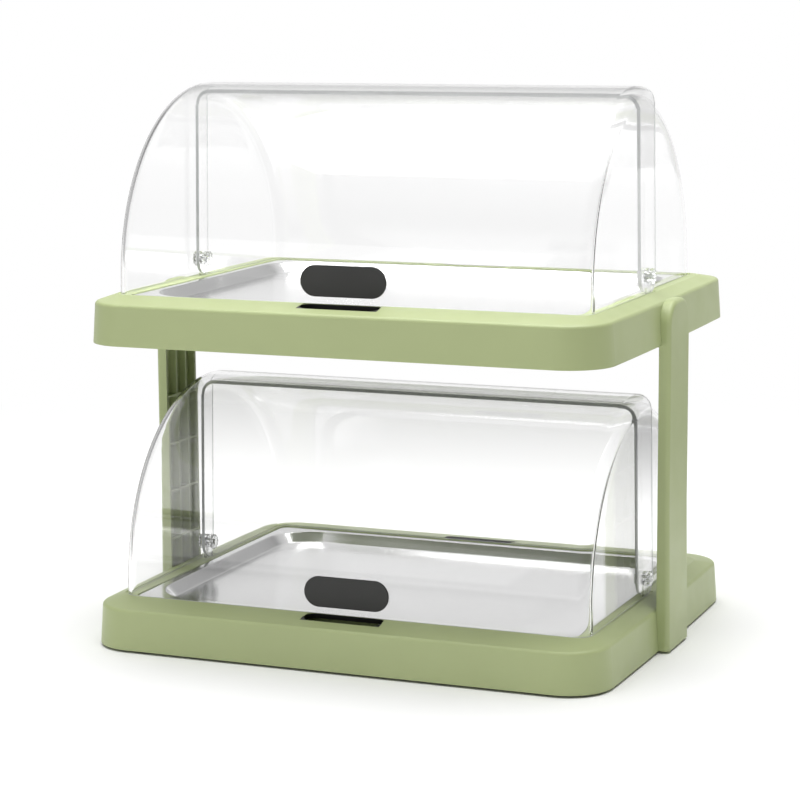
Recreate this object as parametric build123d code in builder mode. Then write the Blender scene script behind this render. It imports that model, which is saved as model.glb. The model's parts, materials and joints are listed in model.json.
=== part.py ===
from build123d import *
from math import radians, sqrt, tan
import os

# Refrigerated roll-top display with two tiers.
# X runs to the right, the front faces minus Y, Z is up.
# The origin is at the middle of the footprint, on the table.

# Overall sizes
base_length = 430.0
base_depth = 355.0
tier_pitch = 241.5
foot_height = 2.0

# Base housing
side_bow = 2.5
base_corner = 36.0
base_wall = 2.8
fold_height = 32.0
fold_inset = 2.1
fold_round = 3.0
band_rise = 4.7
side_band = 18.2
front_band = 31.0
edge_bow = 0.3
deck_depth = 0.5
deck_clearance = 0.7
deck_lip = 1.0
roof_thickness = 2.4

# Sunk seat for the tray, and the basin for the packs
seat_clearance = 0.8
seat_corner = 7.0
seat_round = 0.5
seat_drop = 1.8
seat_ledge = 6.2
basin_corner = 5.0
basin_floor_height = 8.0
basin_floor = 2.5
basin_wall = 2.5

# Finger notches, front and rear
notch_length = 65.0
notch_reach = 14.0
notch_corner = 8.0
notch_inner_gap = 1.0

# Stiffening gussets under the band
gusset_thickness = 2.0
gusset_gap = 33.0
gusset_step = 25.0

# Roll-top covers
hinge_rise = 13.8
cover_wall = 2.6
cover_gap = 3.4
cover_lift = 0.3
ear_clearance = 0.6
cover_corner = 12.0
cover_draft = 1.2

# Oval plate on the front cover
plate_length = 70.5
plate_width = 24.0
plate_thickness = 1.6
plate_rise = 4.0
plate_round = 0.5

# Hinge pins, caps and brackets
pin_radius = 2.5
pin_running = 0.08
pin_fit = 0.02
knob_radius = 5.0
knob_petals = 10
petal_radius = 1.1
knob_thickness = 2.6
cap_thickness = 2.4
knob_clearance = 0.4
bracket_clearance = 0.5
bracket_head = 6.2
bracket_stem = 8.0
bracket_pad_drop = 9.0
bracket_pad_length = 30.0
bracket_pad_width = 13.0
bracket_flange = 2.0
bracket_corner = 1.5
bracket_slot_clearance = 0.2
bracket_screw_spacing = 21.0

# Stainless tray
sheet = 0.8
tray_clearance = 1.0
tray_lift = 0.3
rim_width = 6.5
tray_depth = 8.3
tray_wall_run = 8.0
tray_corner = 40.0
tray_rim_corner = 6.0
tray_floor_round = 2.5

# Cooling packs
pack_gap = 6.0
pack_edge_gap = 3.0
pack_top_gap = 0.6
pack_corner = 14.0
pack_round = 4.0
pack_foot_round = 2.0
pack_channel = 12.0
pack_channel_depth = 2.5
pack_channels = 3
cap_radius = 11.0
cap_height = 6.0
cap_pocket_gap = 1.0
cap_setback = 26.0
coin_slot_length = 16.0
coin_slot_width = 3.2
coin_slot_depth = 2.0

# Bottom plate and its screws
bottom_thickness = 2.0
bottom_recess = 0.6
bottom_clearance = 0.4
boss_radius = 4.0
boss_setback = 65.5
boss_row_setback = 120.0
pilot_depth = 11.0

# Feet
foot_radius = 9.0
foot_stem_radius = 3.0
foot_setback_x = 50.0
foot_setback_y = 52.5
foot_round = 0.6

# Posts
post_thickness = 9.0
post_flare = 1.5
post_flare_height = 112.0
post_width = 54.2
post_y = -3.0
post_rise = 1.5
post_arch = 20.0
post_round = 3.6
post_wall = 2.6
post_back = 2.6
post_rib = 1.8
post_rib_pitch = 40.3
post_rib_first = 15.7
post_columns = 3
post_clearance = 0.2
post_end_wall = 5.0
pad_thickness = 6.5
pad_margin = 4.0
shelf_reach = 9.0
shelf_thickness = 3.0
shelf_width = 34.0

# Screws
screw_radius = 1.5
screw_head_radius = 3.0
screw_head = 2.0
screw_length = 8.0
screw_clearance = 0.2
post_screw_radius = 2.0
post_screw_head_radius = 3.8
post_screw_head = 2.6
post_screw_length = 12.0
post_screw_spacing = 26.0
post_boss_radius = 4.6

# Cutting tools run this far past a face, and edges are found within a hair
overshoot = 5.0
hair = 0.01

tiers = (("lower", 0.0), ("upper", tier_pitch))
ends = (("left", -1), ("right", 1))

# Every piece is modelled in the lower tier, whose base starts at z0,
# and the upper tier holds a copy, tier_pitch higher
z0 = foot_height

# Derived places, measured from the bottom edge of a base
band_height = fold_height + band_rise
deck_floor = band_height - deck_depth
seat_height = deck_floor - seat_drop
cavity_top = seat_height - roof_thickness
hinge_height = deck_floor + hinge_rise
plate_height = hinge_height + plate_rise
cover_drop = hinge_rise - cover_lift
cover_lap = cover_drop - ear_clearance
cover_radius = base_depth / 2 - front_band
cover_half_length = base_length / 2 - side_band
inner_cover_radius = cover_radius - cover_wall - cover_gap
inner_cover_half_length = cover_half_length - cover_wall - cover_gap
slant = sqrt(0.5)
cover_lean = tan(radians(cover_draft)) * slant
cover_taper = cover_lean * (inner_cover_radius - cover_drop)
seat_half_length = inner_cover_half_length - cover_wall - cover_taper - seat_clearance
seat_front = -cover_radius + cover_wall + seat_clearance
seat_rear = inner_cover_radius - cover_wall - seat_clearance
seat_half_depth = (seat_rear - seat_front) / 2
seat_middle = (seat_rear + seat_front) / 2
basin_half_length = seat_half_length - seat_ledge
basin_half_depth = seat_half_depth - seat_ledge
front_edge = -cover_radius - deck_clearance
rear_edge = inner_cover_radius + deck_clearance
side_edge = cover_half_length + deck_clearance
rear_side_edge = inner_cover_half_length + deck_clearance
bracket_x = inner_cover_half_length + cover_gap / 2
bracket_thickness = cover_gap - 2 * bracket_clearance
bracket_pad_bottom = deck_floor - bracket_pad_drop
bottom_top = bottom_recess + bottom_thickness
post_inner = base_length / 2 - fold_inset
post_outer = post_inner + post_thickness
post_top = fold_height + post_rise
post_screw_height = (bottom_top + fold_height) / 2
tray_top = seat_height + tray_lift + sheet
foot_x = base_length / 2 - foot_setback_x
foot_y = base_depth / 2 - foot_setback_y

# The screw bosses stand midway between the basin and the skirt
skirt_inset = base_wall + fold_inset
boss_x = (basin_half_length + basin_wall + base_length / 2 - skirt_inset) / 2
boss_y = base_depth / 2 - boss_setback
boss_row_x = base_length / 2 - boss_row_setback
boss_row_y = (basin_half_depth + basin_wall + base_depth / 2 - skirt_inset) / 2
gusset_x = (boss_row_x - gusset_gap, boss_row_x + gusset_gap)
gusset_y = (boss_y - 2 * gusset_step, boss_y - gusset_step)
screw_places = [(sx * boss_x, sy * boss_y) for sx in (-1, 1) for sy in (-1, 1)]
screw_places += [(sx * boss_row_x, sy * boss_row_y) for sx in (-1, 1) for sy in (-1, 1)]
post_screw_places = [post_y - post_screw_spacing / 2, post_y + post_screw_spacing / 2]


def save(part, name):
    """Label a finished piece and write it."""
    part.label = name
    export_step(part, f"parts/{name}.step")


def plan_outline(height, half_x, front, rear, corner, bow):
    """Plan of a housing: long sides straight, short sides bowed out by bow."""
    middle = (front + rear) / 2
    with BuildSketch(Plane.XY.offset(height)) as outline:
        with BuildLine():
            right = ThreePointArc((half_x - bow, front), (half_x, middle), (half_x - bow, rear))
            back = Line(right @ 1, (bow - half_x, rear))
            left = ThreePointArc(back @ 1, (-half_x, middle), (bow - half_x, front))
            Line(left @ 1, right @ 0)
        make_face()
        fillet(outline.vertices(), corner)
    return outline.sketch


def rounded_plan(height, half_x, half_y, corner):
    """A rounded rectangle about the middle of the tray's seat."""
    with BuildSketch(Plane.XY.offset(height)) as outline:
        with Locations((0, seat_middle)):
            RectangleRounded(2 * half_x, 2 * half_y, corner)
    return outline.sketch


def housing_form(inset, top, start):
    """The outer form of a base, drawn in by inset, with its band ending at top."""
    half_x = base_length / 2
    half_y = base_depth / 2
    fold = fold_height - (band_height - top)
    lean = fold_inset * start / fold_height
    skirt_foot = plan_outline(z0 + start, half_x - inset - lean, inset + lean - half_y,
                              half_y - inset - lean, base_corner - inset, side_bow)
    drawn_in = inset + fold_inset
    skirt_top = plan_outline(z0 + fold, half_x - drawn_in, drawn_in - half_y,
                             half_y - drawn_in, base_corner - drawn_in, side_bow)
    edge_corner = cover_corner + deck_clearance + deck_lip
    band_edge = plan_outline(z0 + top, side_edge + deck_lip, front_edge - deck_lip,
                             rear_edge + deck_lip, edge_corner, edge_bow)
    with BuildPart() as form:
        loft([skirt_foot, skirt_top], ruled=True)
        loft([skirt_top, band_edge], ruled=True)
    return form.part


def cavity_form():
    """The hollow under the band, less the basin, gussets, bosses and pads."""
    basin_outer = rounded_plan(z0 + basin_floor_height - basin_floor,
                               basin_half_length + basin_wall, basin_half_depth + basin_wall,
                               basin_corner + basin_wall)
    rib_height = cavity_top - bottom_top
    with BuildPart() as cavity:
        add(housing_form(base_wall, cavity_top, -overshoot))
        extrude(basin_outer, amount=cavity_top, mode=Mode.SUBTRACT)
        with BuildSketch(Plane.XY.offset(z0 + bottom_top)):
            with Locations([(sx * x, 0) for sx in (-1, 1) for x in gusset_x]):
                Rectangle(gusset_thickness, base_depth)
            with Locations([(0, sy * y) for sy in (-1, 1) for y in gusset_y]):
                Rectangle(base_length, gusset_thickness)
            with Locations(screw_places):
                Circle(boss_radius)
        extrude(amount=rib_height, mode=Mode.SUBTRACT)
        with BuildSketch(Plane.XY.offset(z0 + bracket_pad_bottom)):
            with Locations((-bracket_x, 0), (bracket_x, 0)):
                Rectangle(bracket_pad_width, bracket_pad_length)
        extrude(amount=bracket_pad_drop, mode=Mode.SUBTRACT)
        pad_outer = base_length / 2
        pad_inner = post_inner - pad_thickness
        pad_middle = (pad_inner + pad_outer) / 2
        with BuildSketch(Plane.XY.offset(z0 - overshoot)):
            with Locations((-pad_middle, post_y), (pad_middle, post_y)):
                Rectangle(pad_outer - pad_inner, post_width + 2 * pad_margin)
        extrude(amount=cavity_top + overshoot, mode=Mode.SUBTRACT)
    return cavity.part


def post_face(z_bottom, z_top, inset):
    """Side view of a post, with its arched top, drawn in by inset."""
    with BuildSketch(Plane.YZ) as face:
        with Locations((post_y, (z_bottom + z_top) / 2)):
            Rectangle(post_width - 2 * inset, z_top - z_bottom - inset)
        fillet(face.vertices().group_by(Axis.Y)[-1], post_arch - inset)
    return face.sketch


def notch_plan(seat_face, cover_face):
    """Plan of a finger notch that starts beside the seat and runs out past the cover."""
    inner = abs(seat_face) + notch_inner_gap
    outer = abs(cover_face) + notch_reach
    depth_sign = seat_face / abs(seat_face)
    corner = min(notch_corner, (outer - inner) / 2 - hair)
    with BuildSketch(Plane.XY.offset(z0 + cavity_top - base_wall)) as notch:
        with Locations((0, depth_sign * (inner + outer) / 2)):
            RectangleRounded(notch_length, outer - inner, corner)
    return notch.sketch


def is_seat_edge(edge):
    """Whether an edge of the base is the rim of the tray's seat, on the deck."""
    middle = edge.center()
    inside_x = abs(middle.X) < seat_half_length + hair
    inside_y = abs(middle.Y - seat_middle) < seat_half_depth + hair
    return inside_x and inside_y and abs(middle.Z - z0 - deck_floor) < hair


def base_part():
    """One moulded base: skirt, sloped band, deck for the covers, tray seat and basin."""
    above = band_height + overshoot
    with BuildPart() as base:
        add(housing_form(0.0, band_height, 0.0))
        fold = z0 + fold_height
        fold_edges = base.edges().filter_by_position(Axis.Z, fold - hair, fold + hair)
        fillet(fold_edges, fold_round)
        # The deck is wide where the front cover stands and narrower behind the hinge
        ear_end = cover_lap + deck_clearance
        deck_corner = cover_corner + deck_clearance
        with BuildSketch(Plane.XY.offset(z0 + deck_floor)) as wide_deck:
            with Locations((0, (front_edge + ear_end) / 2)):
                Rectangle(2 * side_edge, ear_end - front_edge)
            fillet(wide_deck.vertices().group_by(Axis.Y)[0], deck_corner)
        extrude(amount=above, mode=Mode.SUBTRACT)
        with BuildSketch(Plane.XY.offset(z0 + deck_floor)) as rear_deck:
            with Locations((0, rear_edge / 2)):
                Rectangle(2 * rear_side_edge, rear_edge)
            fillet(rear_deck.vertices().group_by(Axis.Y)[-1], deck_corner)
        extrude(amount=above, mode=Mode.SUBTRACT)
        # The tray's seat is sunk in the deck, inside the covers
        seat = rounded_plan(z0 + seat_height, seat_half_length, seat_half_depth, seat_corner)
        extrude(seat, amount=above, mode=Mode.SUBTRACT)
        fillet([e for e in base.edges() if is_seat_edge(e)], seat_round)
        basin = rounded_plan(z0 + basin_floor_height, basin_half_length, basin_half_depth,
                             basin_corner)
        extrude(basin, amount=above, mode=Mode.SUBTRACT)
        add(cavity_form(), mode=Mode.SUBTRACT)
        # Finger notches, front and rear
        extrude(notch_plan(seat_front, front_edge), amount=above, mode=Mode.SUBTRACT)
        extrude(notch_plan(seat_rear, rear_edge), amount=above, mode=Mode.SUBTRACT)
        # Slots and screw holes for the hinge brackets
        slot_width = bracket_thickness + 2 * bracket_slot_clearance
        with BuildSketch(Plane.XY.offset(z0 + bracket_pad_bottom)):
            with Locations((-bracket_x, 0), (bracket_x, 0)):
                Rectangle(slot_width, bracket_stem + 2 * bracket_slot_clearance)
        extrude(amount=above, mode=Mode.SUBTRACT)
        with BuildSketch(Plane.XY.offset(z0 + bracket_pad_bottom)):
            with Locations(bracket_screw_places()):
                Circle(screw_radius + screw_clearance)
        extrude(amount=screw_length, mode=Mode.SUBTRACT)
        # Pilot holes for the bottom plate
        with BuildSketch(Plane.XY.offset(z0 + bottom_top)):
            with Locations(screw_places):
                Circle(screw_radius + screw_clearance)
        extrude(amount=pilot_depth, mode=Mode.SUBTRACT)
        # The posts lie in recesses in the two ends
        for name, end in ends:
            with BuildSketch(Plane.YZ.offset(end * post_inner)):
                with Locations((post_y, z0)):
                    Rectangle(post_width + 2 * post_clearance, 2 * fold_height)
            extrude(amount=end * base_length, mode=Mode.SUBTRACT)
            with BuildSketch(Plane.YZ.offset(end * (post_inner - pad_thickness))):
                with Locations([(y, z0 + post_screw_height) for y in post_screw_places]):
                    Circle(post_screw_radius + screw_clearance)
            extrude(amount=end * (pad_thickness + overshoot), mode=Mode.SUBTRACT)
    return base.part


def bracket_screw_places():
    """Plan places of the two screws of each hinge bracket."""
    reach = bracket_screw_spacing / 2
    return [(sx * bracket_x, sy * reach) for sx in (-1, 1) for sy in (-1, 1)]


def bottom_plate_part(with_feet):
    """The flat plate that closes a base from below."""
    inset = base_wall + bottom_clearance
    half_x = base_length / 2 - inset
    half_y = base_depth / 2 - inset
    plan = plan_outline(z0 + bottom_recess, half_x, -half_y, half_y, base_corner - inset, side_bow)
    with BuildPart() as plate:
        extrude(plan, amount=bottom_thickness)
        pad_reach = post_inner - pad_thickness - bottom_clearance
        with BuildSketch(Plane.XY.offset(z0)):
            with Locations((-(pad_reach + half_x / 2), post_y), (pad_reach + half_x / 2, post_y)):
                Rectangle(half_x, post_width + 2 * pad_margin + 2 * bottom_clearance)
            with Locations(screw_places):
                Circle(screw_radius + screw_clearance)
            if with_feet:
                with GridLocations(2 * foot_x, 2 * foot_y, 2, 2):
                    Circle(foot_stem_radius + screw_clearance)
        extrude(amount=bottom_top + overshoot, mode=Mode.SUBTRACT)
    return plate.part


def screw_group(places, plane_height, head_up):
    """Identical upright screws: places in plan, the head under plane_height."""
    with BuildPart() as screws:
        with BuildSketch(Plane.XY.offset(plane_height)):
            with Locations(places):
                Circle(screw_radius)
        extrude(amount=screw_length)
        with BuildSketch(Plane.XY.offset(plane_height)):
            with Locations(places):
                Circle(screw_head_radius)
        extrude(amount=-head_up)
    return screws.part


def cover_form(side, radius, half_length, corner, open_gap):
    """A solid quarter drum about the hinge line, grown by open_gap at its open sides."""
    hinge = z0 + hinge_height
    lap = cover_lap + open_gap
    crown = sqrt(radius**2 - lap**2)
    with BuildPart() as form:
        with BuildSketch(hinge_plane(0)):
            with BuildLine():
                skirt = Line((side * radius, -cover_drop - open_gap), (side * radius, 0))
                drum_middle = (side * radius * slant, radius * slant)
                drum = ThreePointArc(skirt @ 1, drum_middle, (-side * lap, crown))
                edge = Line(drum @ 1, (-side * lap, 0))
                if open_gap:
                    corner_point = (-side * lap, -cover_drop - open_gap)
                    ear = Line(edge @ 1, corner_point)
                else:
                    ear_middle = (-side * lap * slant, -lap * slant)
                    ear = ThreePointArc(edge @ 1, ear_middle, (0, -lap))
                Line(ear @ 1, skirt @ 0)
            make_face()
        extrude(amount=half_length + overshoot, both=True)
        # The end walls lean in towards the drum for moulding
        for name, end in ends:
            wall_plane = Plane(origin=(end * half_length, 0, hinge),
                               z_dir=(end, side * cover_lean, cover_lean))
            split(bisect_by=wall_plane, keep=Keep.BOTTOM)
        rim_edges = [e for e in form.edges() if is_drum_edge(e, radius, half_length)]
        if corner > 0:
            fillet(rim_edges, corner)
    return form.part


def is_drum_edge(edge, radius, half_length):
    """True for the edges where the drum and its skirt meet an end wall."""
    middle = edge @ 0.5
    reach = sqrt(middle.Y**2 + (middle.Z - z0 - hinge_height) ** 2)
    return reach > radius - cover_wall and abs(middle.X) > half_length / 2


def cover_part(side, radius, half_length):
    """One clear cover: drum, skirt and two end walls with ears for the hinge pins."""
    outer = cover_form(side, radius, half_length, cover_corner, 0.0)
    hollow = cover_form(side, radius - cover_wall, half_length - cover_wall,
                        cover_corner - cover_wall, overshoot)
    with BuildPart() as cover:
        add(outer)
        add(hollow, mode=Mode.SUBTRACT)
        with BuildSketch(hinge_plane(0)):
            Circle(pin_radius + pin_running)
        extrude(amount=half_length + overshoot, both=True, mode=Mode.SUBTRACT)
    return cover.part


def oval_plate_part():
    """The bare oval plate that lies on the drum of a front cover."""
    with BuildPart() as plate:
        with BuildSketch(Plane.XZ):
            with Locations((0, z0 + plate_height)):
                SlotOverall(plate_length, plate_width)
        extrude(amount=2 * cover_radius)
        add(cover_form(-1, cover_radius + plate_thickness, cover_half_length, 0.0, overshoot),
            mode=Mode.INTERSECT)
        add(cover_form(-1, cover_radius, cover_half_length, 0.0, 2 * overshoot), mode=Mode.SUBTRACT)
        front_edges = plate.faces().sort_by(Axis.Y)[0].edges()
        fillet(front_edges, plate_round)
    return plate.part


def knob_sketch(plane):
    """Face of a knob with small petals round its rim."""
    with BuildSketch(plane) as face:
        Circle(knob_radius)
        with PolarLocations(knob_radius, knob_petals):
            Circle(petal_radius)
    return face.sketch


def hinge_plane(x):
    """A plane across the hinge line at x."""
    return Plane(origin=(x, 0, z0 + hinge_height), x_dir=(0, 1, 0), z_dir=(1, 0, 0))


def hinge_pin_part(end):
    """A hinge pin with its knob inside the covers."""
    knob_face = inner_cover_half_length - cover_wall - knob_clearance
    tip = cover_half_length + knob_clearance + cap_thickness
    with BuildPart() as pin:
        extrude(knob_sketch(hinge_plane(end * knob_face)), amount=-end * knob_thickness)
        with BuildSketch(hinge_plane(end * knob_face)):
            Circle(pin_radius)
        extrude(amount=end * (tip - knob_face))
    return pin.part


def pin_cap_part(end):
    """The cap that holds a hinge pin from outside."""
    cap_face = cover_half_length + knob_clearance
    with BuildPart() as cap:
        extrude(knob_sketch(hinge_plane(end * cap_face)), amount=end * cap_thickness)
        with BuildSketch(hinge_plane(end * cap_face)):
            Circle(pin_radius + pin_fit)
        extrude(amount=end * cap_thickness, mode=Mode.SUBTRACT)
    return cap.part


def hinge_bracket_part(end):
    """A clear blade that stands between the two covers and carries the pin."""
    blade_start = end * (bracket_x - bracket_thickness / 2)
    flange_top = bracket_pad_bottom - hinge_height
    with BuildPart() as bracket:
        with BuildSketch(hinge_plane(blade_start)):
            Circle(bracket_head)
            with Locations((0, (flange_top - bracket_flange) / 2)):
                Rectangle(bracket_stem, bracket_flange - flange_top)
            Circle(pin_radius + pin_fit, mode=Mode.SUBTRACT)
        extrude(amount=end * bracket_thickness)
        with BuildSketch(Plane.XY.offset(z0 + bracket_pad_bottom)):
            with Locations((end * bracket_x, 0)):
                RectangleRounded(bracket_pad_width, bracket_pad_length, bracket_corner)
            with Locations([(end * bracket_x, sy * bracket_screw_spacing / 2) for sy in (-1, 1)]):
                Circle(screw_radius + screw_clearance, mode=Mode.SUBTRACT)
        extrude(amount=-bracket_flange)
    return bracket.part


def tray_part():
    """The stainless tray: flat rim, sloped wall with large corners, flat floor."""
    rim_half_x = seat_half_length - tray_clearance
    rim_half_y = seat_half_depth - tray_clearance
    mouth_x = rim_half_x - rim_width
    mouth_y = rim_half_y - rim_width
    floor_x = mouth_x - tray_wall_run
    floor_y = mouth_y - tray_wall_run
    floor_corner = tray_corner - tray_wall_run
    top = z0 + tray_top
    with BuildPart() as tray:
        extrude(rounded_plan(top - sheet, rim_half_x, rim_half_y, tray_rim_corner), amount=sheet)
        loft([rounded_plan(top - sheet, mouth_x + sheet, mouth_y + sheet, tray_corner + sheet),
              rounded_plan(top - tray_depth - sheet, floor_x + sheet, floor_y + sheet,
                           floor_corner + sheet)], ruled=True)
        outer_floor = tray.faces().sort_by(Axis.Z)[0].edges()
        fillet(outer_floor, tray_floor_round + sheet)
    with BuildPart() as well:
        loft([rounded_plan(top, mouth_x, mouth_y, tray_corner),
              rounded_plan(top - tray_depth, floor_x, floor_y, floor_corner)], ruled=True)
        inner_floor = well.faces().sort_by(Axis.Z)[0].edges()
        fillet(inner_floor, tray_floor_round)
    with BuildPart() as finished:
        add(tray.part)
        add(well.part, mode=Mode.SUBTRACT)
    return finished.part


def pack_bounds():
    """Half width, depth and height of a cooling pack in its basin."""
    width = basin_half_length - pack_edge_gap - pack_gap / 2
    depth = 2 * (basin_half_depth - pack_edge_gap)
    height = tray_top - tray_depth - sheet - pack_top_gap - basin_floor_height
    return width, depth, height


def pack_part(end):
    """A flat cooling pack with grooves across its top and a pocket for its cap."""
    width, depth, height = pack_bounds()
    middle_x = end * (pack_gap + width) / 2
    top = z0 + basin_floor_height + height
    with BuildPart() as pack:
        with BuildSketch(Plane.XY.offset(z0 + basin_floor_height)):
            with Locations((middle_x, seat_middle)):
                RectangleRounded(width, depth, pack_corner)
        extrude(amount=height)
        fillet(pack.edges().group_by(Axis.Z)[-1], pack_round)
        fillet(pack.edges().group_by(Axis.Z)[0], pack_foot_round)
        with BuildSketch(Plane.XY.offset(top)):
            with Locations((middle_x, seat_middle)):
                with GridLocations(width, depth / (pack_channels + 1), 1, pack_channels):
                    SlotOverall(width - 2 * pack_corner, pack_channel)
        extrude(amount=-pack_channel_depth, mode=Mode.SUBTRACT)
        with BuildSketch(Plane.XY.offset(top)):
            with Locations((middle_x, seat_middle + cap_setback - depth / 2)):
                Circle(cap_radius + cap_pocket_gap)
        extrude(amount=-cap_height, mode=Mode.SUBTRACT)
    return pack.part


def pack_cap_part(end):
    """The screw cap of a cooling pack, sunk in its pocket."""
    width, depth, height = pack_bounds()
    middle_x = end * (pack_gap + width) / 2
    seat = z0 + basin_floor_height + height - cap_height
    with BuildPart() as cap:
        with BuildSketch(Plane.XY.offset(seat)):
            with Locations((middle_x, seat_middle + cap_setback - depth / 2)):
                Circle(cap_radius)
        extrude(amount=cap_height - pack_top_gap)
        with BuildSketch(Plane.XY.offset(seat + cap_height - pack_top_gap)):
            with Locations((middle_x, seat_middle + cap_setback - depth / 2)):
                Rectangle(coin_slot_length, coin_slot_width)
        extrude(amount=-coin_slot_depth, mode=Mode.SUBTRACT)
    return cap.part


def post_part():
    """The right post: arched channel, open inwards, with ribs, screw bosses and a shelf."""
    bottom = foot_height
    top = foot_height + tier_pitch + post_top
    shelf_top = foot_height + tier_pitch
    flare_top = foot_height + post_flare_height
    with BuildPart() as post:
        with BuildSketch(Plane.XZ.offset(-post_y - post_width / 2 - overshoot)):
            with BuildLine():
                Polyline((post_inner, bottom), (post_outer + post_flare, bottom),
                         (post_outer, flare_top), (post_outer, top + overshoot),
                         (post_inner, top + overshoot), close=True)
            make_face()
        extrude(amount=post_width + 2 * overshoot)
        extrude(post_face(bottom, top, 0.0), amount=2 * post_outer, mode=Mode.INTERSECT)
        outer_edges = [e for e in post.edges() if is_outer_post_edge(e)]
        fillet(outer_edges, post_round)
        # The channel is cut as pockets, so that ribs stay between them
        add(post_pockets(), mode=Mode.SUBTRACT)
        for height in (foot_height, shelf_top):
            with BuildSketch(Plane.YZ.offset(post_inner)):
                with Locations([(y, height + post_screw_height) for y in post_screw_places]):
                    Circle(post_boss_radius)
            extrude(amount=post_outer - post_inner - post_back)
            with BuildSketch(Plane.YZ.offset(post_inner)):
                with Locations([(y, height + post_screw_height) for y in post_screw_places]):
                    Circle(post_screw_radius + screw_clearance)
            extrude(amount=post_screw_length - pad_thickness + screw_clearance, mode=Mode.SUBTRACT)
        # The shelf carries the upper base
        with BuildSketch(Plane.XY.offset(shelf_top)):
            shelf_middle = post_inner - (shelf_reach - post_wall) / 2
            with Locations((shelf_middle, post_y)):
                Rectangle(shelf_reach + post_wall, shelf_width)
        extrude(amount=-shelf_thickness)
    return post.part


def is_outer_post_edge(edge):
    """True for the long edges round the outer face of a post."""
    middle = edge @ 0.5
    on_outer_face = middle.X > post_outer - hair
    on_side = abs(middle.Y - post_y) > post_width / 2 - post_arch
    on_top = middle.Z > foot_height + tier_pitch + post_top - hair
    return on_outer_face and (on_side or on_top)


def post_pockets():
    """The pockets of a post's channel, as solids."""
    inner_width = post_width - 2 * post_wall
    column = (inner_width - (post_columns - 1) * post_rib) / post_columns
    depth = post_outer - post_inner - post_back
    bottom = foot_height + post_end_wall
    top = foot_height + tier_pitch + post_top - post_wall
    rib_count = int((top - bottom) / post_rib_pitch) + 1
    ribs = [foot_height + post_rib_first + i * post_rib_pitch for i in range(rib_count)]
    ribs = [z for z in ribs if bottom + 2 * post_rib < z < top - 2 * post_rib]
    levels = [bottom] + ribs + [top]
    with BuildPart() as pockets:
        for low, high in zip(levels, levels[1:]):
            floor_z = low if low == bottom else low + post_rib / 2
            ceiling_z = high if high == top else high - post_rib / 2
            with BuildSketch(Plane.YZ.offset(post_inner)):
                with Locations((post_y, (floor_z + ceiling_z) / 2)):
                    with GridLocations(column + post_rib, 1, post_columns, 1):
                        Rectangle(column, ceiling_z - floor_z)
            extrude(amount=depth)
        inside = post_face(foot_height, top + post_wall, post_wall)
        extrude(inside, amount=2 * post_outer, mode=Mode.INTERSECT)
    return pockets.part


def post_screws_part():
    """The screws that hold the posts, put in from inside the bases."""
    seat = post_inner - pad_thickness
    with BuildPart() as screws:
        for name, end in ends:
            for tier, lift in tiers:
                places = [(y, z0 + lift + post_screw_height) for y in post_screw_places]
                with BuildSketch(Plane.YZ.offset(end * seat)):
                    with Locations(places):
                        Circle(post_screw_radius)
                extrude(amount=end * post_screw_length)
                with BuildSketch(Plane.YZ.offset(end * seat)):
                    with Locations(places):
                        Circle(post_screw_head_radius)
                extrude(amount=-end * post_screw_head)
    return screws.part


def feet_part():
    """Four rubber feet, each with a stem in the bottom plate."""
    with BuildPart() as feet:
        with BuildSketch():
            with GridLocations(2 * foot_x, 2 * foot_y, 2, 2):
                Circle(foot_radius)
        extrude(amount=foot_height + bottom_recess)
        fillet(feet.edges().group_by(Axis.Z)[0], foot_round)
        with BuildSketch(Plane.XY.offset(foot_height + bottom_recess)):
            with GridLocations(2 * foot_x, 2 * foot_y, 2, 2):
                Circle(foot_stem_radius)
        extrude(amount=bottom_thickness)
    return feet.part


def save_in_tiers(part, name):
    """Write a piece for the lower tier and its copy for the upper tier."""
    for tier, lift in tiers:
        save(part.moved(Location((0, 0, lift))), f"{tier}_{name}")


def tier_copies(part):
    """The solids of a group in both tiers."""
    return [solid for tier, lift in tiers for solid in part.moved(Location((0, 0, lift))).solids()]


os.makedirs("parts", exist_ok=True)

save_in_tiers(base_part(), "base")
save_in_tiers(cover_part(-1, cover_radius, cover_half_length), "front_cover")
save_in_tiers(cover_part(1, inner_cover_radius, inner_cover_half_length), "rear_cover")
save_in_tiers(oval_plate_part(), "oval_plate")
save_in_tiers(tray_part(), "tray")
for name, end in ends:
    save_in_tiers(hinge_bracket_part(end), f"{name}_hinge_bracket")
    save_in_tiers(hinge_pin_part(end), f"{name}_hinge_pin")
    save_in_tiers(pin_cap_part(end), f"{name}_pin_cap")
    save_in_tiers(pack_part(end), f"{name}_cooling_pack")
    save_in_tiers(pack_cap_part(end), f"{name}_pack_cap")

# Only the lower bottom plate has holes for feet
save(bottom_plate_part(True), "lower_bottom_plate")
save(bottom_plate_part(False).moved(Location((0, 0, tier_pitch))), "upper_bottom_plate")
plate_screws = screw_group(screw_places, z0 + bottom_recess, screw_head)
save(Compound(children=tier_copies(plate_screws)), "bottom_plate_screws")
flange_face = z0 + bracket_pad_bottom - bracket_flange
bracket_screws = screw_group(bracket_screw_places(), flange_face, screw_head)
save(Compound(children=tier_copies(bracket_screws)), "hinge_bracket_screws")

right_post = post_part()
save(right_post, "right_post")
save(right_post.mirror(Plane.YZ), "left_post")
save(post_screws_part(), "post_screws")
save(feet_part(), "rubber_feet")
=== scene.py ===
# %% [markdown]
# # A tiered roll-top display, dressed for a studio picture
# The construction comes packed from CAD: bases, posts, pins, screws and joints at their real size.
# This lesson adds the looks. It builds smooth clear covers and pressed steel trays as surfaces worked
# out with numpy, gives every piece a procedural finish, and lights the whole.
# Everything is in metres, in the frame of the CAD model: +X right, the front faces -Y, +Z up.

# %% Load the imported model
import json
import math

import bmesh
import bpy
import numpy as np
from mathutils import Matrix, Vector


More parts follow.
